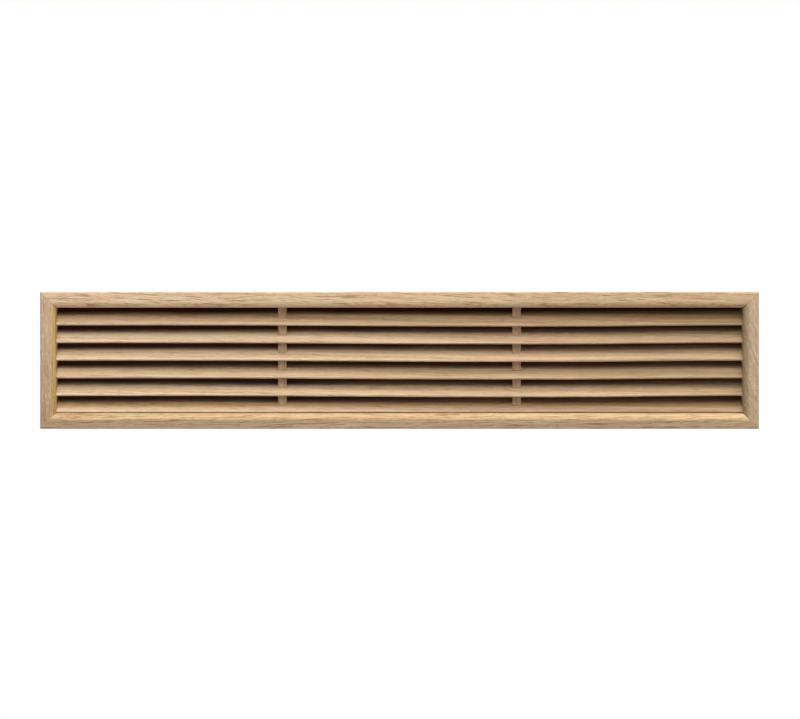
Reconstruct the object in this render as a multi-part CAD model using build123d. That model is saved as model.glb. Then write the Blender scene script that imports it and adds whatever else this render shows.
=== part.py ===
"""Wooden ventilation grille: a mitred oak frame, fixed louvre slats and two comb-shaped support posts.

Millimetres. X runs along the grille, Y into the wall and Z up. The origin is the centre of the plane in which
the back of the flange meets the wall.
"""

import os
from math import cos, radians, sin

from build123d import *

# Frame moulding
overall_length = 420.0
overall_height = 80.0
frame_width = 9.0  # each member, seen from the front
flange_thickness = 6.0  # in front of the wall
flange_overlap = 4.5  # beyond the spigot, covers the edge of the cut-out
spigot_depth = 12.0  # behind the flange, in the cut-out
inner_round = 3.5  # quarter-round along the opening
outer_round = 0.8  # front arris of the flange
lead_in = 1.0  # chamfer that guides the spigot into the cut-out

# Louvre slats
slat_count = 6
slat_angle = 45.0  # rising to the back
slat_thickness = 1.4
slat_overlap = 0.85  # rear edge above the nose of the next slat up, so that nobody sees through
slat_round = 0.3  # all four arrises
slat_setback = 4.2  # nose behind the face of the frame
slat_sill = 0.1  # air under the nose of the lowest slat
slat_drop = 0.35  # of the other slats, below an even spacing
slat_housing = 2.5  # depth of the blind housings in the stiles

# Support posts
post_width = 5.0
post_spacing = 137.5  # centre to centre
post_setback = 7.6  # front behind the face of the frame
post_round = 0.2  # two front arrises
post_housing = 2.0  # depth of the housings in the rails

# Joints
glue_gap = 0.05  # all round each slat and post in its housing

opening_length = overall_length - 2 * frame_width
opening_height = overall_height - 2 * frame_width
frame_depth = flange_thickness + spigot_depth
face_y = -flange_thickness

slat_length = opening_length + 2 * (slat_housing - glue_gap)
slat_pitch = opening_height / slat_count
slope_y = cos(radians(slat_angle))
slope_z = sin(radians(slat_angle))
slat_rise = slat_pitch + slat_overlap
slat_core_thickness = slat_thickness / 2 - slat_round
slat_core_width = (slat_rise / 2 - slat_round - slat_core_thickness * slope_y) / slope_z
slat_width = 2 * (slat_core_width + slat_round)
slat_half_depth = slat_core_width * slope_y + slat_core_thickness * slope_z + slat_round

post_depth = frame_depth - post_setback
post_height = opening_height + 2 * (post_housing - glue_gap)


def corner(shape, x, y):
    """The vertex of a flat shape nearest to a point."""
    return shape.vertices().sort_by_distance((x, y, 0))[0]


def frame_section():
    """Section of the moulding, x inward from the outer edge and y back from the face."""
    outline = Polyline(
        (0, 0),
        (frame_width, 0),
        (frame_width, frame_depth),
        (flange_overlap, frame_depth),
        (flange_overlap, flange_thickness),
        (0, flange_thickness),
        close=True,
    )
    section = make_face(outline)
    section = fillet(corner(section, frame_width, 0), inner_round)
    section = fillet(corner(section, 0, 0), outer_round)
    return chamfer(corner(section, flange_overlap, frame_depth), lead_in)


def frame_member(seat, length):
    """One length of the moulding, mitred at both ends."""
    outline = Polyline(
        (0, 0),
        (frame_width, frame_width),
        (frame_width, length - frame_width),
        (0, length),
        close=True,
    )
    mitred = extrude(Plane.XZ * make_face(outline), amount=-frame_depth)
    return seat * (extrude(frame_section(), amount=length) & mitred)


def slat_bar(row, length, room):
    """Slat of a row counted from the top, or its housing where room is left all round."""
    nose_z = slat_sill - opening_height / 2 + slat_pitch * (slat_count - row)
    if row < slat_count:
        nose_z -= slat_drop
    seat = Plane(
        origin=(0, face_y + slat_setback + slat_half_depth, nose_z + slat_rise / 2),
        x_dir=(0, slope_y, slope_z),
        z_dir=(1, 0, 0),
    )
    section = RectangleRounded(slat_width + 2 * room, slat_thickness + 2 * room, slat_round + room)
    return seat * extrude(section, amount=length / 2, both=True)


def post_bar(x, height, room):
    """Plain upright before it is slotted, or its housing where room is left all round."""
    section = Rectangle(post_width + 2 * room, post_depth + 2 * room)
    fronts = section.vertices().sort_by(Axis.Y)[:2]
    section = fillet(fronts, post_round + room)
    seat = Pos(x, face_y + post_setback + post_depth / 2, 0)
    return seat * extrude(section, amount=height / 2, both=True)


half_length = overall_length / 2
half_height = overall_height / 2
seats = {
    "top_rail": Plane((-half_length, face_y, half_height), x_dir=(0, 0, -1), z_dir=(1, 0, 0)),
    "bottom_rail": Plane((half_length, face_y, -half_height), x_dir=(0, 0, 1), z_dir=(-1, 0, 0)),
    "left_stile": Plane((-half_length, face_y, -half_height), x_dir=(1, 0, 0), z_dir=(0, 0, 1)),
    "right_stile": Plane((half_length, face_y, half_height), x_dir=(-1, 0, 0), z_dir=(0, 0, -1)),
}
rows = range(1, slat_count + 1)
post_places = {"left_post": -post_spacing / 2, "right_post": post_spacing / 2}

slat_housings = [slat_bar(row, opening_length + 2 * slat_housing, glue_gap) for row in rows]
post_housings = [post_bar(x, opening_height + 2 * post_housing, glue_gap) for x in post_places.values()]

pieces = {}
for name in ("left_stile", "right_stile"):
    pieces[name] = frame_member(seats[name], overall_height) - slat_housings
# The top slat's rear edge is let into the top rail.
pieces["top_rail"] = frame_member(seats["top_rail"], overall_length) - post_housings - slat_housings[0]
pieces["bottom_rail"] = frame_member(seats["bottom_rail"], overall_length) - post_housings
for row in rows:
    pieces[f"slat_{row}"] = slat_bar(row, slat_length, 0)
for name, x in post_places.items():
    pieces[name] = post_bar(x, post_height, 0) - slat_housings

os.makedirs("parts", exist_ok=True)
for name, piece in pieces.items():
    export_step(piece, f"parts/{name}.step")
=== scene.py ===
"""Looks of the wooden ventilation grille: oak frame, louvre slats and posts in soft studio light."""

import logging
import math
from dataclasses import dataclass, fields, replace
from enum import Enum
from typing import Any, Sequence

import bmesh
import bpy
import numpy as np
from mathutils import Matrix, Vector


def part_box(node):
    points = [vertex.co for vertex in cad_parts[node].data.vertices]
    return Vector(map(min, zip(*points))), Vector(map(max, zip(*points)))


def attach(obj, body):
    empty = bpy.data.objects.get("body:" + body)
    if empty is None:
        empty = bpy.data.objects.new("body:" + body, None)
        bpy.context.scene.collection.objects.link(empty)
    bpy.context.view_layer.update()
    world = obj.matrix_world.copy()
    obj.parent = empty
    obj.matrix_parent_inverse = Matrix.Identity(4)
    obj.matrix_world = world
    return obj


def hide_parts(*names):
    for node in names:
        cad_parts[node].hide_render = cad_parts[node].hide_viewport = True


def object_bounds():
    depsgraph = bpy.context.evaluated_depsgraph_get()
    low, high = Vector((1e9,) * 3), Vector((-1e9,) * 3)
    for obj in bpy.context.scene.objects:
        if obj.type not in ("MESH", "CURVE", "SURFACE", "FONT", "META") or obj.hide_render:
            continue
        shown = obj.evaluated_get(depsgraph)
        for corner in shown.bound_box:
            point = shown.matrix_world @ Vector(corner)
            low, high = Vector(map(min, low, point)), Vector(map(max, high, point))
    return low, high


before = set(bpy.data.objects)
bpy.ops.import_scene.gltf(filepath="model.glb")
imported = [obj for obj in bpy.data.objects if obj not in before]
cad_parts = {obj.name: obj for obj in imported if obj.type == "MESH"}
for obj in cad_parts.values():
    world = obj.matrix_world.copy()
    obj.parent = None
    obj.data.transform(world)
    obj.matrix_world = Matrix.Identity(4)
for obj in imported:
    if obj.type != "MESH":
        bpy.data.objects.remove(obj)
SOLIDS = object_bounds()

Colour = tuple[float, float, float]
Socket = bpy.types.NodeSocket
Paint = Colour | Socket
LOG = logging.getLogger("grille")
BODY = "root"
SLAT_COUNT = sum(name.startswith("slat_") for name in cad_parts)
FRONT_Y = SOLIDS[0].y
HALF_LENGTH = SOLIDS[1].x
HALF_HEIGHT = SOLIDS[1].z
HALF_ROW = 0.5
NOISE_MEAN = 0.5
WHITE = (1.0, 1.0, 1.0, 1.0)
BROAD_FACE_WEIGHT = 100
# Colour sockets of a Mix node, which has others of the same names.
MIX_A = 6
MIX_B = 7
MIX_RESULT = 2


class Grain(Enum):
    """Axes of the row frame along the fibres, across the seen face and into it."""

    LENGTHWISE = (0, 2, 1)
    UPRIGHT = (2, 0, 1)


class Num:
    """A number that flows through a node tree, with Python's operators."""

    def __init__(self, nodes: "Nodes", socket: Socket) -> None:
        """Keeps the tree's builder and the socket that gives the number."""
        self.nodes = nodes
        self.socket = socket

    def __add__(self, other: "Num | float") -> "Num":
        """Sum."""
        return self.nodes.math("ADD", self, other)

    __radd__ = __add__

    def __mul__(self, other: "Num | float") -> "Num":
        """Product."""
        return self.nodes.math("MULTIPLY", self, other)

    __rmul__ = __mul__

    def __sub__(self, other: "Num | float") -> "Num":
        """Difference."""
        return self.nodes.math("SUBTRACT", self, other)

    def __rsub__(self, other: float) -> "Num":
        """Difference from a plain number."""
        return self.nodes.math("SUBTRACT", other, self)

    def __truediv__(self, other: "Num | float") -> "Num":
        """Quotient."""
        return self.nodes.math("DIVIDE", self, other)

    def __pow__(self, other: float) -> "Num":
        """Power."""
        return self.nodes.math("POWER", self, other)

    def __abs__(self) -> "Num":
        """Size without sign."""
        return self.nodes.math("ABSOLUTE", self)

    def __neg__(self) -> "Num":
        """Opposite."""
        return self.nodes.math("SUBTRACT", 0.0, self)


Number = Num | float


class Nodes:
    """Builder of one node tree."""

    def __init__(self, tree: bpy.types.NodeTree) -> None:
        """Keeps the shader, world or geometry tree to build in."""
        self.tree = tree

    def node(
        self, kind: str, settings: dict[str, Any] | None = None, inputs: dict[int | str, Any] | None = None
    ) -> bpy.types.Node:
        """Adds a node.

        Args:
            kind: node type.
            settings: properties, set first; "stops" and "steps" fill a colour ramp.
            inputs: values or links by socket name or number.

        Returns:
            The new node.
        """
        made = self.tree.nodes.new(kind)
        for name, value in (settings or {}).items():
            if name in ("stops", "steps"):
                self._fill_ramp(made.color_ramp, value, "LINEAR" if name == "stops" else "CONSTANT")
            else:
                setattr(made, name, value)
        self.feed(made, inputs or {})
        return made

    def feed(self, node: bpy.types.Node, inputs: dict[int | str, Any]) -> None:
        """Sets or links the sockets of a node.

        Args:
            node: node to feed.
            inputs: values or links by socket name or number, where a node stands for its first output.
        """
        for key, value in inputs.items():
            if isinstance(value, Num):
                value = value.socket
            elif isinstance(value, bpy.types.Node):
                value = value.outputs[0]
            if isinstance(value, Socket):
                self.tree.links.new(value, node.inputs[key])
            else:
                node.inputs[key].default_value = value

    @staticmethod
    def _fill_ramp(ramp: bpy.types.ColorRamp, stops: Sequence[tuple[float, Colour]], between: str) -> None:
        """Replaces a ramp's stops.

        Args:
            ramp: colour ramp of a new node, which has two stops.
            stops: place and colour of each stop, in order.
            between: interpolation from stop to stop.
        """
        ramp.interpolation = between
        while len(ramp.elements) < len(stops):
            ramp.elements.new(1.0)
        for element, (place, colour) in zip(ramp.elements, stops):
            element.position = place
            element.color = (*colour, 1.0)

    def number(self, node: bpy.types.Node, output: int | str = 0) -> Num:
        """The number that a node gives."""
        return Num(self, node.outputs[output])

    def math(self, operation: str, *values: Number) -> Num:
        """Adds a Math node and returns its result."""
        return self.number(self.node("ShaderNodeMath", {"operation": operation}, dict(enumerate(values))))

    def vector(self, operation: str, a: Socket, b: Paint) -> Socket:
        """Adds a Vector Math node and returns its vector."""
        return self.node("ShaderNodeVectorMath", {"operation": operation}, {0: a, 1: b}).outputs[0]

    def split(self, vector: Socket) -> tuple[Num, Num, Num]:
        """The three numbers of a vector."""
        parts = self.node("ShaderNodeSeparateXYZ", None, {0: vector})
        return self.number(parts, 0), self.number(parts, 1), self.number(parts, 2)

    def join(self, x: Number, y: Number, z: Number) -> Socket:
        """A vector of three numbers."""
        return self.node("ShaderNodeCombineXYZ", None, {0: x, 1: y, 2: z}).outputs[0]

    def ramp_up(self, value: Num, low: Number, high: Number) -> Num:
        """Smooth step from 0 at low to 1 at high."""
        smooth = {"interpolation_type": "SMOOTHSTEP"}
        return self.number(self.node("ShaderNodeMapRange", smooth, {0: value, 1: low, 2: high}))

    def noise(self, where: Socket, detail: Number) -> Num:
        """Noise from about 0 to 1, in cells of one unit, with so many octaves."""
        sockets = {"Vector": where, "Scale": 1.0, "Detail": detail}
        return self.number(self.node("ShaderNodeTexNoise", None, sockets))

    def blend(self, factor: Number, a: Paint, b: Paint, how: str = "MIX") -> Socket:
        """Mixes two colours.

        Args:
            factor: share of the second colour.
            a: first colour or its socket.
            b: second colour or its socket.
            how: blend type.

        Returns:
            Socket with the mixed colour.
        """
        a, b = ((*colour, 1.0) if isinstance(colour, tuple) else colour for colour in (a, b))
        settings = {"data_type": "RGBA", "blend_type": how}
        return self.node("ShaderNodeMix", settings, {0: factor, MIX_A: a, MIX_B: b}).outputs[MIX_RESULT]

    def shade(self, share: Number, colour: Socket, tint: Colour) -> Socket:
        """Multiplies a colour by a tint, where the share is more than 0."""
        return self.blend(share, colour, tint, "MULTIPLY")

    def attribute(self, name: str, output: str) -> Socket:
        """Reads an attribute of the mesh."""
        return self.node("ShaderNodeAttribute", {"attribute_name": name}).outputs[output]


@dataclass(frozen=True)
class Figure:
    """Noise stretched along the fibres.

    Attributes:
        along, across: cells for each metre along and across the fibres.
        detail: octaves of the noise.
        low, high: levels at which its marks begin and are full.
    """

    along: float
    across: float
    detail: float
    low: float = 0.0
    high: float = 1.0

    def level(self, nodes: Nodes, where: Socket) -> Num:
        """Noise from about 0 to 1, at a place along, across and into the fibres."""
        scaled = nodes.vector("MULTIPLY", where, (self.along, self.across, self.across))
        return nodes.noise(scaled, self.detail)

    def swing(self, nodes: Nodes, where: Socket) -> Num:
        """Noise about 0."""
        return self.level(nodes, where) - NOISE_MEAN

    def marks(self, nodes: Nodes, where: Socket) -> Num:
        """1 where the noise is strong, 0 where it is weak."""
        return nodes.ramp_up(self.level(nodes, where), self.low, self.high)


DRIFT = Figure(along=12.0, across=60.0, detail=2.0)
WANDER = Figure(along=70.0, across=260.0, detail=2.0)
STREAK = Figure(along=6.0, across=560.0, detail=3.0)
FIBRE = Figure(along=80.0, across=3600.0, detail=3.0)
CLOUD = Figure(along=9.0, across=55.0, detail=2.0)
BLUSH = Figure(along=22.0, across=160.0, detail=2.0, low=0.40, high=0.66)
DASH = Figure(along=80.0, across=1700.0, detail=1.0, low=0.54, high=0.64)
PORE = Figure(along=320.0, across=2200.0, detail=1.0, low=0.55, high=0.67)
FLECK = Figure(along=380.0, across=1100.0, detail=2.0, low=0.50, high=0.64)
RAGGED = Figure(along=300.0, across=900.0, detail=1.0)


@dataclass(frozen=True)
class FrameSeamsAndPaintedLight:
    """Marks of the frame: mitre lines that opened a little, and painted light and shade on the round-over.

    Attributes:
        round_painted_light: painted light and shade on the round-over, as a factor, after the way it faces.
        round_from, round_to: distances from the outline at which that tone begins and is full.
        ragged: unevenness of those distances.
        seam_width: distance from a mitre at which its line ends.
        seam_colour: colour of the line.
        seam_on_flat: share of the line that shows on the flat.
        seam_top_left, seam_right, seam_top_right: how open the upper left, lower right and upper right
            mitres are. The lower left one is shut.
        seam_turn: share of half the height in which the lower lines give way to the upper ones.
        seam_least, seam_ragged: least strength of a line, and how much stronger it can be.
    """

    round_painted_light: Colour = (1.0, 1.0, 1.0)
    round_from: float = 0.0052
    round_to: float = 0.0066
    ragged: float = 0.0012
    seam_width: float = 0.00045
    seam_colour: Colour = (0.060, 0.034, 0.016)
    seam_on_flat: float = 0.03
    seam_top_left: float = 0.55
    seam_right: float = 0.80
    seam_top_right: float = 0.90
    seam_turn: float = 0.25
    seam_least: float = 0.5
    seam_ragged: float = 0.9

    def over(self, nodes: Nodes, colour: Socket, own: Socket) -> Socket:
        """Lays the mitre seams and the painted light and shade over a colour.

        Args:
            nodes: builder of the tree.
            colour: colour of the wood.
            own: place in this piece's own figure.

        Returns:
            Socket with the new colour.
        """
        rough = RAGGED.level(nodes, own)
        x, _, z = nodes.split(nodes.node("ShaderNodeTexCoord").outputs["Object"])
        inward_x = HALF_LENGTH - abs(x)
        inward_z = HALF_HEIGHT - abs(z)
        inward = nodes.math("MINIMUM", inward_x, inward_z) + (rough - NOISE_MEAN) * self.ragged
        # Painted light and shade on the inner round-over, after the way it faces the lamps.
        on_round = nodes.ramp_up(inward, self.round_from, self.round_to)
        tinted = nodes.shade(on_round, colour, self.round_painted_light)
        line = 1.0 - nodes.ramp_up(abs(inward_x - inward_z), 0.0, self.seam_width)
        right = nodes.ramp_up(x, -HALF_HEIGHT, HALF_HEIGHT)
        turn = self.seam_turn * HALF_HEIGHT
        top = nodes.ramp_up(z, -turn, turn)
        change = self.seam_top_right - self.seam_top_left - self.seam_right
        opened = self.seam_top_left * top + right * (self.seam_right + change * top)
        shown = self.seam_on_flat + (1.0 - self.seam_on_flat) * on_round
        strength = line * shown * opened * (self.seam_least + self.seam_ragged * rough)
        return nodes.blend(strength, tinted, self.seam_colour)


@dataclass(frozen=True)
class SlatPaintedLight:
    """Painted light on the slats: shade in the depth and on the front edge, and a highlight on the nose.

    The lowest slat has painted shade in its depth, and none on its edge. Places are from the middle
    of a slat, to the front for the edge and the nose, up in the thickness, and to the back for the rest.

    Attributes:
        grime: colour of the painted shade in the depth and on the front edge.
        depth_from, depth_to: places where the painted shade in the depth begins and is full.
        slant: how much further back it begins for each metre to the right.
        ragged: unevenness of its front.
        face_from, face_to: places in the thickness where it begins and is full.
        edge_grime: share of painted shade on the sawn front edge.
        edge_from, edge_to: places where that begins and is full.
        under_from, under_to: places in the thickness up to which it is full and above which there is none.
        lowest_board: number that only the lowest slat is past.
        lowest_painted_shade: painted shade in the lowest slat's depth, as a factor.
        lowest_from, lowest_to: places where that tone begins and is full.
        nose_painted_highlight: painted highlight on the nose, paler and bluer, as a factor.
        nose_from, nose_to: places where that tone begins and is full.
    """

    grime: Colour = (0.045, 0.013, 0.008)
    depth_from: float = -0.0004
    depth_to: float = 0.0046
    slant: float = 0.0045
    ragged: float = 0.004
    face_from: float = -0.0002
    face_to: float = 0.0004
    edge_grime: float = 0.75
    edge_from: float = 0.00716
    edge_to: float = 0.00737
    under_from: float = -0.0006
    under_to: float = 0.0002
    lowest_board: float = SLAT_COUNT - 1 - HALF_ROW
    lowest_painted_shade: Colour = (0.78, 0.68, 0.60)
    lowest_from: float = -0.0050
    lowest_to: float = -0.0015
    nose_painted_highlight: Colour = (1.04, 1.05, 1.13)
    nose_from: float = 0.0050
    nose_to: float = 0.0068

    def over(self, nodes: Nodes, colour: Socket, own: Socket) -> Socket:
        """Lays the painted light and shade over a colour.

        Args:
            nodes: builder of the tree.
            colour: colour of the wood.
            own: place in this piece's own figure.

        Returns:
            Socket with the new colour.
        """
        along, across, depth = nodes.split(nodes.attribute("grain", "Vector"))
        # Painted highlight: the nose is made paler and bluer.
        colour = nodes.shade(nodes.ramp_up(-across, self.nose_from, self.nose_to), colour, self.nose_painted_highlight)
        board = Num(nodes, nodes.attribute("board", "Fac"))
        is_lowest = nodes.math("GREATER_THAN", board, self.lowest_board)
        # Painted shade: the lowest slat darkens in its depth.
        shaded = nodes.ramp_up(across, self.lowest_from, self.lowest_to) * is_lowest
        colour = nodes.shade(shaded, colour, self.lowest_painted_shade)
        # Painted shade: the upper faces darken deep between the slats, where the slat above shades them.
        reach = across - along * self.slant + DRIFT.swing(nodes, own) * self.ragged
        upper = nodes.ramp_up(depth, self.face_from, self.face_to)
        deep = nodes.ramp_up(reach, self.depth_from, self.depth_to) * upper
        colour = nodes.blend(deep, colour, self.grime)
        # Painted shade on the sawn front edge, which faces down; the lowest slat has none.
        edge = nodes.ramp_up(-across, self.edge_from, self.edge_to) * (1.0 - is_lowest)
        under = 1.0 - nodes.ramp_up(depth, self.under_from, self.under_to)
        return nodes.blend(edge * under * self.edge_grime, colour, self.grime)


@dataclass(frozen=True)
class Fibres:
    """What the grain gives at each point of a surface.

    Attributes:
        own: place in the piece's own figure.
        place: the same place, moved with the sway of the fibres.
        along: distance along the piece from its middle.
        board: number of the board, counted from 0.
        early: share of early wood.
        fine: fine fibres, about 0.
        dash, pore: long and short pores, from 0 to 1.
    """

    own: Socket
    place: Socket
    along: Num
    board: Num
    early: Num
    fine: Num
    dash: Num
    pore: Num


@dataclass(frozen=True)
class Oak:
    """Finish of one piece of bare oak, grained along the mesh's grain attribute.

    Attributes:
        name: name of the material. slot: not used.
        seed: shift along the grain that gives the piece a figure of its own.
        tint: tone of the whole piece, as a factor; on the frame partly the wood's tone and partly painted
            light.
        dark, middle, light: shades of the wood.
        blush: tone of pinker stretches, as a factor.
        pore_colour, fleck_colour: colours of the pores and of pale ray flecks.
        board_step: shift of the figure from board to board, along, across and into the grain.
        ring_pitch: width of a year ring.
        ring_step: share of a ring by which the rings move from board to board.
        ring_taper: how fast the early wood thins out within a ring.
        heart_across, heart_depth: place of the tree's heart, across the piece and in front of it.
        run_out: slope of the fibres across the piece.
        drift, wander: widths of the fibres' slow sway and of a small waver in the rings.
        base_tone: tone of plain wood, from 0 for dark to 1 for light.
        early_mean: mean share of early wood, at which the tone stays as it is.
        rings: fall of the tone from late to early wood.
        streaks, fibres, clouds: range of tone in long streaks, fine fibres and broad clouds.
        dashes, pores: strength of long and short pores.
        late_dashes, late_pores: share of them that shows in late wood.
        blushes, flecks: strength of the pinker stretches and of the ray flecks.
        fade: painted light: fall of the tone for each metre along the grain, lighter where more light
            falls.
        board_tones: tone to add to each board.
        roughness: roughness of plain wood.
        fibre_roughness, pore_roughness: change of it in fine fibres and in short pores.
        gloss: specular level.
        relief, relief_strength: height and strength of the relief.
        fibre_height, pore_depth, dash_depth, early_depth: share of each of these in the relief.
        wear: mitre seams, and painted light and shade, that lie over the wood.
    """

    name: str
    slot: str
    seed: float
    tint: Colour = (1.0, 1.0, 1.0)
    dark: Colour = (0.30, 0.205, 0.105)
    middle: Colour = (0.49, 0.354, 0.212)
    light: Colour = (0.635, 0.483, 0.315)
    blush: Colour = (1.03, 0.945, 0.985)
    pore_colour: Colour = (0.20, 0.115, 0.055)
    fleck_colour: Colour = (0.72, 0.57, 0.40)
    board_step: tuple[float, float, float] = (0.83, 0.31, 0.17)
    ring_pitch: float = 0.0026
    ring_step: float = 0.37
    ring_taper: float = 1.6
    heart_across: float = 0.004
    heart_depth: float = 0.030
    run_out: float = 0.02
    drift: float = 0.006
    wander: float = 0.0014
    base_tone: float = 0.55
    early_mean: float = 0.38
    rings: float = 0.18
    streaks: float = 0.55
    fibres: float = 0.50
    clouds: float = 0.30
    dashes: float = 0.88
    pores: float = 0.58
    late_dashes: float = 0.45
    late_pores: float = 0.35
    blushes: float = 1.0
    flecks: float = 0.0
    fade: float = 0.0
    board_tones: tuple[float, ...] = ()
    roughness: float = 0.56
    fibre_roughness: float = 0.12
    pore_roughness: float = 0.2
    gloss: float = 0.10
    relief: float = 0.00014
    relief_strength: float = 0.40
    fibre_height: float = 0.5
    pore_depth: float = 0.8
    dash_depth: float = 0.6
    early_depth: float = 0.15
    wear: FrameSeamsAndPaintedLight | SlatPaintedLight | None = None

    def material(self) -> bpy.types.Material:
        """Builds the material.

        Returns:
            The finished material.
        """
        made = bpy.data.materials.new(self.name)
        made.use_nodes = True
        nodes = Nodes(made.node_tree)
        grain = self._grain(nodes)
        rough = self.roughness + grain.fine * self.fibre_roughness + grain.pore * self.pore_roughness
        looks = {
            "Base Color": self._colour(nodes, grain),
            "Roughness": rough,
            "Specular IOR Level": self.gloss,
            "Normal": self._bumps(nodes, grain),
        }
        nodes.feed(made.node_tree.nodes["Principled BSDF"], looks)
        return made

    def _grain(self, nodes: Nodes) -> Fibres:
        """Follows the fibres over the surface.

        Args:
            nodes: builder of the tree.

        Returns:
            What the grain gives at each point.
        """
        where = nodes.attribute("grain", "Vector")
        board = Num(nodes, nodes.attribute("board", "Fac"))
        step_along, step_across, step_depth = self.board_step
        shift = nodes.join(board * step_along + self.seed, board * step_across, board * step_depth)
        own = nodes.vector("ADD", where, shift)
        along, across, depth = nodes.split(where)
        sway = along * self.run_out + DRIFT.swing(nodes, own) * self.drift
        place = nodes.vector("ADD", own, nodes.join(0.0, sway, 0.0))
        ring_across = across + sway + WANDER.swing(nodes, own) * self.wander - self.heart_across
        early = self._early_wood(nodes, ring_across, depth + self.heart_depth, board)
        dash = DASH.marks(nodes, place) * (self.late_dashes + (1.0 - self.late_dashes) * early)
        pore = PORE.marks(nodes, place) * (self.late_pores + (1.0 - self.late_pores) * early)
        return Fibres(own, place, along, board, early, FIBRE.swing(nodes, place), dash, pore)

    def _colour(self, nodes: Nodes, grain: Fibres) -> Socket:
        """Colours the wood, its marks, and the painted light and shade over it.

        Args:
            nodes: builder of the tree.
            grain: what the grain gives.

        Returns:
            Socket with the colour.
        """
        pore_colour = self._tinted(self.pore_colour)
        colour = self._wood_colour(nodes, self._tone(nodes, grain), grain.place)
        colour = nodes.blend(grain.dash * self.dashes, colour, pore_colour)
        colour = nodes.blend(grain.pore * self.pores, colour, pore_colour)
        if self.flecks:
            fleck = FLECK.marks(nodes, grain.place) * self.flecks
            colour = nodes.blend(fleck, colour, self._tinted(self.fleck_colour))
        # Mitre seams, and painted light and shade, over the wood.
        if self.wear:
            colour = self.wear.over(nodes, colour, grain.own)
        return colour

    def _tone(self, nodes: Nodes, grain: Fibres) -> Num:
        """Works the tone of the wood out.

        Args:
            nodes: builder of the tree.
            grain: what the grain gives.

        Returns:
            0 for dark to 1 for light.
        """
        # Painted light: fade makes the tone fall along the grain, lighter towards the top and towards the
        # left.
        tone = self.base_tone - self.rings * (grain.early - self.early_mean) - grain.along * self.fade
        tone = tone + self.fibres * grain.fine + self.streaks * STREAK.swing(nodes, grain.place)
        tone = tone + self.clouds * CLOUD.swing(nodes, grain.place)
        if self.board_tones:
            tone = tone + self._board_tone(nodes, grain.board)
        return tone

    def _bumps(self, nodes: Nodes, grain: Fibres) -> Socket:
        """Raises the fibres and sinks the pores and the early wood.

        Args:
            nodes: builder of the tree.
            grain: what the grain gives.

        Returns:
            Socket with the normal.
        """
        height = grain.fine * self.fibre_height - grain.pore * self.pore_depth
        height = height - grain.dash * self.dash_depth - grain.early * self.early_depth
        sockets = {"Strength": self.relief_strength, "Distance": self.relief, "Height": height}
        return nodes.node("ShaderNodeBump", None, sockets).outputs[0]

    def _early_wood(self, nodes: Nodes, across: Num, depth: Num, board: Num) -> Num:
        """Porous early wood of the year rings round the heart of the tree.

        Args:
            nodes: builder of the tree.
            across: distance from the heart across the seen face.
            depth: distance from the heart into the face.
            board: number of the board.

        Returns:
            1 at the start of each ring, falling to 0 at its end.
        """
        radius = nodes.math("SQRT", across * across + depth * depth)
        phase = nodes.math("FRACT", radius / self.ring_pitch + board * self.ring_step)
        return (1.0 - phase) ** self.ring_taper

    def _wood_colour(self, nodes: Nodes, tone: Num, place: Socket) -> Socket:
        """Colour of the wood between its marks.

        Args:
            nodes: builder of the tree.
            tone: 0 for dark to 1 for light.
            place: place along and across the swaying fibres.

        Returns:
            Socket with the colour.
        """
        shades = (self.dark, self.middle, self.light)
        stops = [(i / (len(shades) - 1), self._tinted(shade)) for i, shade in enumerate(shades)]
        colour = nodes.node("ShaderNodeValToRGB", {"stops": stops}, {0: tone}).outputs[0]
        return nodes.shade(BLUSH.marks(nodes, place) * self.blushes, colour, self.blush)

    def _tinted(self, colour: Colour) -> Colour:
        """A colour in this piece's tint."""
        return (colour[0] * self.tint[0], colour[1] * self.tint[1], colour[2] * self.tint[2])

    def _board_tone(self, nodes: Nodes, board: Num) -> Num:
        """Lighter or darker tone of each board.

        Args:
            nodes: builder of the tree.
            board: number of the board, counted from 0.

        Returns:
            Tone to add.
        """
        # A ramp holds no number below 0, so the tones are kept about the middle grey.
        grey = 0.5
        count = len(self.board_tones)
        steps = [(i / count, (grey + tone,) * 3) for i, tone in enumerate(self.board_tones)]
        ramp = nodes.node("ShaderNodeValToRGB", {"steps": steps}, {0: (board + HALF_ROW) / float(count)})
        return nodes.number(nodes.node("ShaderNodeSeparateColor", None, {0: ramp})) - grey


TOP_OAK = Oak(
    "oak_top_rail",
    "frame_oak",
    seed=1.3,
    # Partly painted light: the upper rail is made lighter and bluer.
    tint=(1.165, 1.21, 1.245),
    run_out=0.05,
    fade=1.0,
    streaks=0.65,
    # Painted shade on the round-over, which faces down.
    wear=FrameSeamsAndPaintedLight(round_painted_light=(0.92, 0.90, 0.90), round_from=0.0068, round_to=0.0080),
)
BOTTOM_OAK = Oak(
    "oak_bottom_rail",
    "frame_oak",
    seed=5.9,
    # Partly painted shade: the lower rail is made darker.
    tint=(0.77, 0.77, 0.78),
    run_out=-0.03,
    streaks=0.75,
    # Painted light on the round-over, which faces up.
    wear=FrameSeamsAndPaintedLight(round_painted_light=(1.50, 1.51, 1.32), round_from=0.0046, round_to=0.0060),
)
LEFT_OAK = Oak(
    "oak_left_stile",
    "frame_oak",
    seed=8.2,
    tint=(0.91, 0.90, 0.92),
    fade=-7.0,
    dashes=0.50,
    pores=0.35,
    flecks=0.30,
    # Painted light on the round-over: warm bounce light, more yellow.
    wear=FrameSeamsAndPaintedLight(round_painted_light=(0.93, 0.885, 0.57), round_from=0.0059, round_to=0.0070),
)
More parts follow.
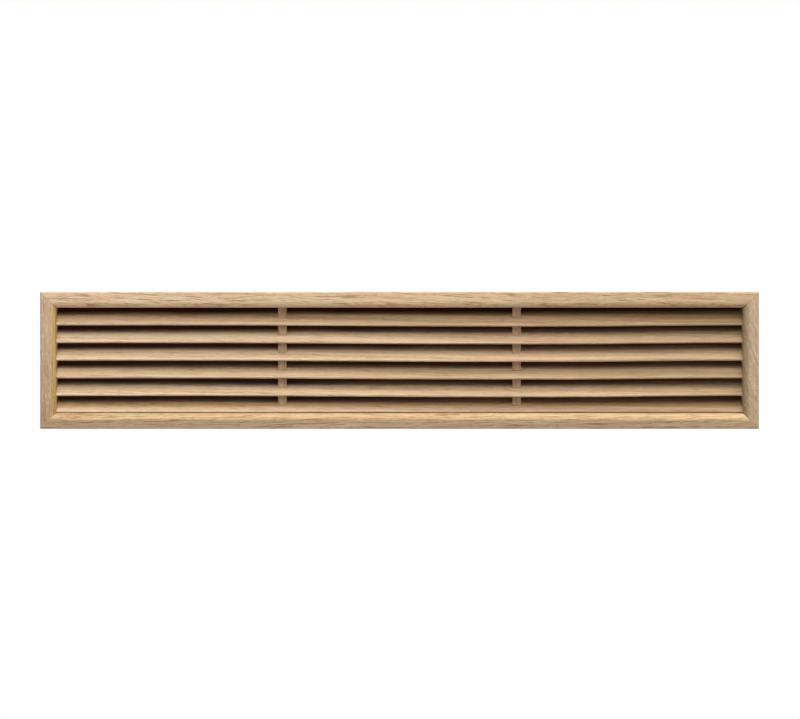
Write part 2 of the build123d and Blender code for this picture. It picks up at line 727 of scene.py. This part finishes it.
RIGHT_OAK = Oak(
    "oak_right_stile",
    "frame_oak",
    seed=12.7,
    # Partly painted shade: the right stile is made darker than the left one.
    tint=(0.80, 0.82, 0.87),
    run_out=0.35,
    fade=-1.7,
    dashes=0.22,
    pores=0.35,
    flecks=0.40,
    # Painted shade on the round-over, which faces away from the key light.
    wear=FrameSeamsAndPaintedLight(round_painted_light=(0.68, 0.66, 0.58), round_from=0.0046, round_to=0.0074),
)
SLAT_OAK = Oak(
    "oak_slats",
    "slat_oak",
    seed=3.1,
    streaks=1.0,
    dashes=0.42,
    pores=0.34,
    blushes=0.7,
    fade=1.5,
    board_tones=(-0.10, 0.03, 0.08, -0.10, 0.02, -0.06),
    wear=SlatPaintedLight(),
)
LEFT_POST_OAK = Oak(
    "oak_left_post", "post_oak", seed=15.4, tint=(0.776, 0.74, 0.72), dashes=0.45, flecks=0.2
)
RIGHT_POST_OAK = replace(LEFT_POST_OAK, name="oak_right_post", seed=17.8)


def finished(piece: bpy.types.Object) -> bpy.types.Object:
    """Turns a piece with modifiers into a plain mesh.

    Args:
        piece: object with live modifiers.

    Returns:
        The same object with the evaluated mesh and no modifier.
    """
    graph = bpy.context.evaluated_depsgraph_get()
    mesh = bpy.data.meshes.new_from_object(piece.evaluated_get(graph), depsgraph=graph)
    piece.modifiers.clear()
    old = piece.data
    piece.data = mesh
    bpy.data.meshes.remove(old)
    mesh.name = piece.name
    return piece


def linked(name: str, data: bpy.types.ID) -> bpy.types.Object:
    """Puts a mesh, a lamp or a camera into the scene.

    Args:
        name: name of the new object.
        data: its mesh, lamp or camera data.

    Returns:
        The object, at the origin.
    """
    piece = bpy.data.objects.new(name, data)
    bpy.context.scene.collection.objects.link(piece)
    return piece


def even_shading(piece: bpy.types.Object) -> None:
    """Keeps broad faces flat and small rounds smooth.

    Args:
        piece: object to shade.
    """
    weighted = piece.modifiers.new("even_shading", "WEIGHTED_NORMAL")
    weighted.weight = BROAD_FACE_WEIGHT
    weighted.keep_sharp = True


@dataclass(frozen=True)
class Member:
    """One sawn piece of a sub-assembly: the solid that it follows, its finish and the run of its fibres."""

    node: str
    finish: Oak
    grain: Grain


@dataclass
class EasedMembers:
    """Sawn and planed pieces whose arrises are eased by hand.

    Attributes:
        members: the pieces.
        ease, ease_segments: width of the eased arrises, and faces across each.
        arris_angle: least angle between two faces that makes an arris.
        flat_angle: greatest angle between two faces that are merged.
        merge: distance within which points are one.
    """

    members: tuple[Member, ...]
    ease: float = 0.00012
    ease_segments: int = 2
    arris_angle: float = math.radians(30)
    flat_angle: float = math.radians(0.5)
    merge: float = 1e-6

    def build(self) -> list[bpy.types.Object]:
        """Makes the pieces from their solids and dresses them.

        Returns:
            The finished pieces, riding on their body.
        """
        return [self.dress(member, self._eased(member)) for member in self.members]

    def _eased(self, member: Member) -> bpy.types.Object:
        """Makes one piece.

        Args:
            member: the piece to make.

        Returns:
            Object with a plain mesh.
        """
        name = f"{member.node}_oak"
        form = bmesh.new()
        form.from_mesh(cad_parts[member.node].data)
        bmesh.ops.remove_doubles(form, verts=form.verts, dist=self.merge)
        bmesh.ops.dissolve_limit(form, angle_limit=self.flat_angle, verts=form.verts, edges=form.edges)
        for face in form.faces:
            face.smooth = True
        self._mark_arrises(form)
        mesh = bpy.data.meshes.new(name)
        form.to_mesh(mesh)
        form.free()
        piece = linked(name, mesh)
        bevel = piece.modifiers.new("eased", "BEVEL")
        bevel.width = self.ease
        bevel.segments = self.ease_segments
        bevel.limit_method = "WEIGHT"
        even_shading(piece)
        return finished(piece)

    def _mark_arrises(self, form: bmesh.types.BMesh) -> None:
        """Marks the edges to ease, and keeps tight joints sharp.

        Args:
            form: merged mesh of the solid.
        """
        eased = form.edges.layers.float.new("bevel_weight_edge")
        for edge in form.edges:
            if self._is_tight(edge):
                edge.smooth = False
            elif edge.calc_face_angle(0.0) > self.arris_angle:
                edge[eased] = 1.0

    def _is_tight(self, edge: bmesh.types.BMEdge) -> bool:
        """Whether an edge lies in a tight joint."""
        return False

    def dress(self, member: Member, piece: bpy.types.Object) -> bpy.types.Object:
        """Gives a piece its grain, its finish and its place in the row.

        Args:
            member: what the piece stands for.
            piece: its finished mesh.

        Returns:
            The same piece.
        """
        mesh = piece.data
        place = np.zeros(len(mesh.vertices) * 3, np.float32)
        mesh.vertices.foreach_get("co", place)
        turned = place.reshape(-1, 3)[:, list(member.grain.value)]
        mesh.attributes.new("grain", "FLOAT_VECTOR", "POINT").data.foreach_set("vector", turned.ravel())
        mesh.materials.clear()
        mesh.materials.append(member.finish.material())
        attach(piece, BODY)
        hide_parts(member.node)
        return piece


@dataclass
class MitredFrame(EasedMembers):
    """Two rails and two stiles of one moulding, whose edges along the mitres are left sharp.

    Attributes:
        mitre_offset: how much further from the middle a mitre is along the grille than up.
        mitre_slack: how far off a mitre an edge still counts as in it.
    """

    members: tuple[Member, ...] = (
        Member("top_rail", TOP_OAK, Grain.LENGTHWISE),
        Member("bottom_rail", BOTTOM_OAK, Grain.LENGTHWISE),
        Member("left_stile", LEFT_OAK, Grain.UPRIGHT),
        Member("right_stile", RIGHT_OAK, Grain.UPRIGHT),
    )
    mitre_offset: float = HALF_LENGTH - HALF_HEIGHT
    mitre_slack: float = 1e-5

    def _is_tight(self, edge: bmesh.types.BMEdge) -> bool:
        """Whether an edge lies in the plane of a mitre."""
        offsets = (abs(v.co.x) - abs(v.co.z) - self.mitre_offset for v in edge.verts)
        return all(abs(offset) < self.mitre_slack for offset in offsets)


@dataclass
class SupportPosts(EasedMembers):
    """Two uprights behind the slat fronts, slotted like combs."""

    members: tuple[Member, ...] = (
        Member("left_post", LEFT_POST_OAK, Grain.UPRIGHT),
        Member("right_post", RIGHT_POST_OAK, Grain.UPRIGHT),
    )


@dataclass
class LouvreSlats:
    """Bank of thin slats that slope down to the front, with uneven noses that sag right of the middle.

    Attributes:
        finish: finish of the slats.
        count: number of slats.
        thickness: thickness of the stock.
        edge_round, round_points: round on all four arrises, and points on each.
        angle: slope of the slats.
        segments: points along a slat.
        unevenness: range of the waves along the noses, on the slope.
        nose_from, nose_to: places, from a slat's middle to the front, where a nose begins and is free.
        sag: how far the noses sag, on the slope.
        sag_start, sag_low_from, sag_low_to, sag_end: places along the grille where the sag begins, is
            full, begins to rise and ends.
        waves, wave_detail: waves for each metre of nose, and their octaves.
        row_step, seed: step in the noise from slat to slat, and place in it.
    """

    finish: Oak = SLAT_OAK
    count: int = SLAT_COUNT
    thickness: float = 0.0014
    edge_round: float = 0.0003
    round_points: int = 5
    angle: float = math.radians(45)
    segments: int = 160
    unevenness: float = 0.00032
    nose_from: float = 0.0030
    nose_to: float = 0.0062
    sag: float = 0.00106
    sag_start: float = -0.125
    sag_low_from: float = 0.062
    sag_low_to: float = 0.090
    sag_end: float = 0.200
    waves: float = 55.0
    wave_detail: float = 3.0
    row_step: float = 7.3
    seed: float = 4.0

    def build(self) -> list[bpy.types.Object]:
        """Makes all the slats as one piece and dresses them.

        Returns:
            The finished piece, riding on its body.
        """
        sizes = self._sizes()
        piece = linked("louvre_slats", bpy.data.meshes.new("louvre_slats"))
        louvre = piece.modifiers.new("louvre", "NODES")
        louvre.node_group = self._tree(sizes)
        for item in louvre.node_group.interface.items_tree:
            if item.in_out == "INPUT":
                louvre[item.identifier] = sizes[item.name]
        even_shading(piece)
        return [self.dress(finished(piece))]

    def dress(self, piece: bpy.types.Object) -> bpy.types.Object:
        """Gives the slats, which have their material from the tree, their place in the row.

        Args:
            piece: finished mesh of all the slats.

        Returns:
            The same piece.
        """
        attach(piece, BODY)
        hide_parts(*self._names())
        return piece

    def _names(self) -> list[str]:
        """Names of the solids, from the top."""
        return [f"slat_{row}" for row in range(1, self.count + 1)]

    def _sizes(self) -> dict[str, Any]:
        """Gathers the tree's inputs: this class's own fields, and what the solids give.

        Returns:
            Value of each input by its name.
        """
        names = self._names()
        first, second, lowest = (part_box(name) for name in (names[0], names[1], names[-1]))
        centre = (first[0] + first[1]) / 2
        pitch = first[0].z - second[0].z
        core_thickness = self.thickness / 2 - self.edge_round
        half_rise = (first[1].z - first[0].z) / 2
        core = (half_rise - self.edge_round - core_thickness * math.cos(self.angle)) / math.sin(self.angle)
        kept = [item.name for item in fields(self) if item.name != "finish"]
        return {
            **{name.replace("_", " ").title(): getattr(self, name) for name in kept},
            "Pitch": pitch,
            "Lowest Lift": lowest[0].z - first[0].z + (self.count - 1) * pitch,
            "Length": first[1].x - first[0].x,
            "Width": 2 * (core + self.edge_round),
            "Top Centre": (0.0, centre.y, centre.z),
            "Material": self.finish.material(),
        }

    def _tree(self, sizes: dict[str, Any]) -> bpy.types.NodeTree:
        """Builds the tree that makes one slat and repeats it down the opening.

        Args:
            sizes: value of each input by its name.

        Returns:
            The geometry node tree.
        """
        tree = bpy.data.node_groups.new("louvre_slats", "GeometryNodeTree")
        kinds = {int: "NodeSocketInt", float: "NodeSocketFloat", tuple: "NodeSocketVector"}
        for name, value in sizes.items():
            kind = kinds.get(type(value), "NodeSocketMaterial")
            tree.interface.new_socket(name, in_out="INPUT", socket_type=kind)
        tree.interface.new_socket("Slats", in_out="OUTPUT", socket_type="NodeSocketGeometry")
        nodes = Nodes(tree)
        given = {socket.name: Num(nodes, socket) for socket in nodes.node("NodeGroupInput").outputs}
        bank = nodes.node(
            "GeometryNodeInstanceOnPoints",
            None,
            {"Points": self._rows(nodes, given), "Instance": self._slat(nodes, given)},
        )
        numbered = nodes.node(
            "GeometryNodeStoreNamedAttribute",
            {"data_type": "FLOAT", "domain": "INSTANCE"},
            {0: bank, "Name": "board", "Value": nodes.node("GeometryNodeInputIndex")},
        )
        real = nodes.node("GeometryNodeRealizeInstances", None, {0: numbered})
        offset = self._nose_offset(nodes, given)
        uneven = nodes.node("GeometryNodeSetPosition", None, {0: real, "Offset": offset})
        smooth = nodes.node("GeometryNodeSetShadeSmooth", None, {0: uneven})
        oak = nodes.node("GeometryNodeSetMaterial", None, {0: smooth, "Material": given["Material"]})
        nodes.node("NodeGroupOutput", None, {0: oak})
        return tree

    @staticmethod
    def _slat(nodes: Nodes, given: dict[str, Num]) -> Socket:
        """One slat, tilted about its centre line, which keeps its place along and across the fibres.

        Args:
            nodes: builder of the tree.
            given: inputs of the tree by name.

        Returns:
            Socket with the slat.
        """
        half = given["Length"] * 0.5
        ends = {"Start": nodes.join(-half, 0.0, 0.0), "End": nodes.join(half, 0.0, 0.0)}
        line = nodes.node("GeometryNodeCurvePrimitiveLine", None, ends)
        spaced = {0: line, "Count": given["Segments"]}
        run = nodes.node("GeometryNodeResampleCurve", {"mode": "COUNT"}, spaced)
        upright = nodes.node("GeometryNodeSetCurveNormal", {"mode": "Z_UP"}, {0: run})
        block = nodes.node(
            "GeometryNodeCurvePrimitiveQuadrilateral",
            {"mode": "RECTANGLE"},
            {0: given["Width"], 1: given["Thickness"]},
        )
        section = nodes.node(
            "GeometryNodeFilletCurve",
            {"mode": "POLY"},
            {0: block, "Count": given["Round Points"], "Radius": given["Edge Round"]},
        )
        strip = nodes.node("GeometryNodeCurveToMesh", None, {0: upright, 1: section, "Fill Caps": True})
        grained = nodes.node(
            "GeometryNodeStoreNamedAttribute",
            {"data_type": "FLOAT_VECTOR", "domain": "POINT"},
            {0: strip, "Name": "grain", "Value": nodes.node("GeometryNodeInputPosition")},
        )
        tilt = nodes.join(given["Angle"], 0.0, 0.0)
        return nodes.node("GeometryNodeTransform", None, {0: grained, "Rotation": tilt}).outputs[0]

    @staticmethod
    def _is_lowest(nodes: Nodes, given: dict[str, Num], row: Num) -> Num:
        """1 for the lowest slat, 0 for the others."""
        return nodes.math("COMPARE", row, given["Count"] - 1.0, HALF_ROW)

    @classmethod
    def _rows(cls, nodes: Nodes, given: dict[str, Num]) -> Socket:
        """Centres of the slats at an even pitch from the top, with the lowest a little higher.

        Args:
            nodes: builder of the tree.
            given: inputs of the tree by name.

        Returns:
            Socket with one point for each slat.
        """
        down = nodes.join(0.0, 0.0, -given["Pitch"])
        rows = nodes.node(
            "GeometryNodeMeshLine",
            {"mode": "OFFSET"},
            {"Count": given["Count"], "Start Location": given["Top Centre"], "Offset": down},
        )
        row = nodes.number(nodes.node("GeometryNodeInputIndex"))
        lift = nodes.join(0.0, 0.0, cls._is_lowest(nodes, given, row) * given["Lowest Lift"])
        return nodes.node("GeometryNodeSetPosition", None, {0: rows, "Offset": lift}).outputs[0]

    @classmethod
    def _nose_offset(cls, nodes: Nodes, given: dict[str, Num]) -> Socket:
        """Shift of the front edge along the slope: small waves, and a sag of all slats but the lowest.

        Args:
            nodes: builder of the tree.
            given: inputs of the tree by name.

        Returns:
            Socket with the shift of each point.
        """
        read = "GeometryNodeInputNamedAttribute"
        grain = nodes.node(read, {"data_type": "FLOAT_VECTOR"}, {"Name": "grain"})
        row = nodes.number(nodes.node(read, {"data_type": "FLOAT"}, {"Name": "board"}))
        along, across, _ = nodes.split(grain.outputs[0])
        nose = nodes.ramp_up(-across, given["Nose From"], given["Nose To"])
        spot = nodes.join(along * given["Waves"], row * given["Row Step"], given["Seed"])
        wave = nodes.noise(spot, given["Wave Detail"]) - NOISE_MEAN
        falling = nodes.ramp_up(along, given["Sag Start"], given["Sag Low From"])
        rising = nodes.ramp_up(along, given["Sag Low To"], given["Sag End"])
        is_upper = 1.0 - cls._is_lowest(nodes, given, row)
        sag = falling * (1.0 - rising) * is_upper * given["Sag"]
        shift = nose * (wave * given["Unevenness"] - sag)
        back, up = (shift * nodes.math(part, given["Angle"]) for part in ("COSINE", "SINE"))
        return nodes.join(0.0, back, up)


@dataclass(frozen=True)
class SoftBox:
    """Rectangular soft box that faces the grille.

    Attributes:
        name, colour: name of the lamp and colour of its light.
        turn, rise: degrees from the front to the right, and above the grille.
        distance: distance from the grille.
        width, height: sides of its face.
        level: radiance of its face.
    """

    name: str
    colour: Colour
    turn: float
    rise: float
    distance: float
    width: float
    height: float
    level: float

    def hang(self) -> None:
        """Adds the lamp to the scene."""
        side = math.radians(self.turn)
        lift = math.radians(self.rise)
        way = Vector((math.sin(side) * math.cos(lift), -math.cos(side) * math.cos(lift), math.sin(lift)))
        data = bpy.data.lights.new(self.name, "AREA")
        data.shape = "RECTANGLE"
        data.size = self.width
        data.size_y = self.height
        data.energy = self.level * math.pi * self.width * self.height
        data.color = self.colour
        lamp = linked(self.name, data)
        lamp.location = way * self.distance
        lamp.rotation_euler = way.to_track_quat("Z", "Y").to_euler()
        lamp.visible_camera = False


PALE_LIGHT = (1.0, 0.985, 0.97)
FILL_LIGHT = (1.0, 0.98, 0.95)
WARM_LIGHT = (1.0, 0.84, 0.55)
SOFT_BOXES = (
    SoftBox("key", PALE_LIGHT, turn=14.0, rise=57.0, distance=0.95, width=1.4, height=1.15, level=3.93),
    SoftBox("warm_side", WARM_LIGHT, turn=70.0, rise=30.0, distance=1.0, width=0.5, height=0.5, level=1.0),
    SoftBox("low_fill", FILL_LIGHT, turn=0.0, rise=-45.0, distance=0.9, width=0.9, height=0.5, level=3.4),
    SoftBox("back_fill", PALE_LIGHT, turn=180.0, rise=22.0, distance=1.1, width=1.6, height=0.6, level=3.0),
)


@dataclass
class Studio:
    """Pale floor, white surround, soft lamps and the camera of the photograph.

    Attributes:
        image_width, outline_width: pixels across the photograph, and across the grille in it.
        distance: distance of the camera from the grille's face.
        aim_x, aim_z: place of the camera along the grille, and its height from the middle.
        sensor: sensor width in millimetres.
        floor_z, floor_half: height of the floor, and half its side.
        floor_grey, floor_roughness: grey of the floor in the light that it throws back, and roughness.
        near_white: share of white in the floor as it is seen under the grille.
        fade_from, fade_to: distances at which the floor begins to fade and is as white as the surround.
        front_light, rear_light: levels of the surround's light from above and from behind or below.
        front_lean: lean of that light to the front.
        light_from, light_to: heights in the surround at which it begins to rise and is full.
    """

    image_width: float = 800.0
    outline_width: float = 718.9
    distance: float = 1.85
    aim_x: float = 0.00029
    aim_z: float = 0.00050
    sensor: float = 36.0
    floor_z: float = -2.0
    floor_half: float = 6.0
    floor_grey: float = 0.30
    floor_roughness: float = 0.9
    near_white: float = 0.94
    fade_from: float = 1.0
    fade_to: float = 4.5
    front_light: float = 0.20
    rear_light: float = 0.02
    front_lean: float = 0.25
    light_from: float = 0.25
    light_to: float = 0.85

    def build(self) -> None:
        """Sets the studio up."""
        bpy.context.scene.view_settings.view_transform = "Standard"
        self._camera()
        self._floor()
        self._surround()
        for lamp in SOFT_BOXES:
            lamp.hang()

    def _camera(self) -> None:
        """Stands the camera straight in front, where the grille fills the picture as in the photograph."""
        field = 2 * HALF_LENGTH * self.image_width / self.outline_width
        data = bpy.data.cameras.new("camera")
        data.sensor_width = self.sensor
        data.lens = self.sensor * self.distance / field
        camera = linked("camera", data)
        camera.location = (self.aim_x, FRONT_Y - self.distance, self.aim_z)
        camera.rotation_euler = (math.radians(90), 0.0, 0.0)
        bpy.context.scene.camera = camera

    def _floor(self) -> None:
        """Lays a pale floor, which keeps a shadow near the grille and fades into the white surround."""
        half = self.floor_half
        mesh = bpy.data.meshes.new("floor")
        corners = [(-half, -half), (half, -half), (half, half), (-half, half)]
        mesh.from_pydata([(x, y, self.floor_z) for x, y in corners], [], [(0, 1, 2, 3)])
        made = bpy.data.materials.new("floor_pale")
        made.use_nodes = True
        nodes = Nodes(made.node_tree)
        shader = made.node_tree.nodes["Principled BSDF"]
        grey = (self.floor_grey, self.floor_grey, self.floor_grey, 1.0)
        nodes.feed(shader, {"Base Color": grey, "Roughness": self.floor_roughness})
        glow = nodes.node("ShaderNodeEmission", None, {"Color": WHITE, "Strength": 1.0})
        x, y, _ = nodes.split(nodes.node("ShaderNodeTexCoord").outputs["Object"])
        far = nodes.ramp_up(nodes.math("SQRT", x * x + y * y), self.fade_from, self.fade_to)
        white = self._seen(nodes) * (self.near_white + (1.0 - self.near_white) * far)
        mix = nodes.node("ShaderNodeMixShader", None, {0: white, 1: shader, 2: glow})
        nodes.feed(made.node_tree.nodes["Material Output"], {0: mix})
        mesh.materials.append(made)
        linked("floor", mesh)

    @staticmethod
    def _seen(nodes: Nodes) -> Num:
        """Picks out what the camera sees, straight, by reflection or through glass.

        Args:
            nodes: builder of the tree.

        Returns:
            1 for what is seen, 0 for what only lights the grille.
        """
        rays = nodes.node("ShaderNodeLightPath")
        straight, mirrored, through = (
            nodes.number(rays, name) for name in ("Is Camera Ray", "Is Glossy Ray", "Is Transmission Ray")
        )
        return nodes.math("MAXIMUM", nodes.math("MAXIMUM", straight, mirrored), through)

    def _surround(self) -> None:
        """White surround, whose own light comes mostly from above and from the front."""
        world = bpy.data.worlds.new("surround")
        world.use_nodes = True
        bpy.context.scene.world = world
        nodes = Nodes(world.node_tree)
        _, y, z = nodes.split(nodes.node("ShaderNodeTexCoord").outputs["Generated"])
        upper = nodes.ramp_up(z - y * self.front_lean, self.light_from, self.light_to)
        level = self.rear_light + upper * (self.front_light - self.rear_light)
        light = nodes.node("ShaderNodeBackground", None, {"Color": level, "Strength": 1.0})
        white = nodes.node("ShaderNodeBackground", None, {"Color": WHITE, "Strength": 1.0})
        mix = nodes.node("ShaderNodeMixShader", None, {0: self._seen(nodes), 1: light, 2: white})
        nodes.feed(world.node_tree.nodes["World Output"], {0: mix})


def main() -> None:
    """Builds the grille and its studio, and logs the faces of each piece."""
    logging.basicConfig(level=logging.INFO, format="%(name)s: %(message)s")
    for sub_assembly in (MitredFrame(), LouvreSlats(), SupportPosts()):
        for piece in sub_assembly.build():
            LOG.info("%s: %d faces", piece.name, len(piece.data.polygons))
    Studio().build()
    bpy.context.view_layer.update()


if __name__ == "__main__":
    main()
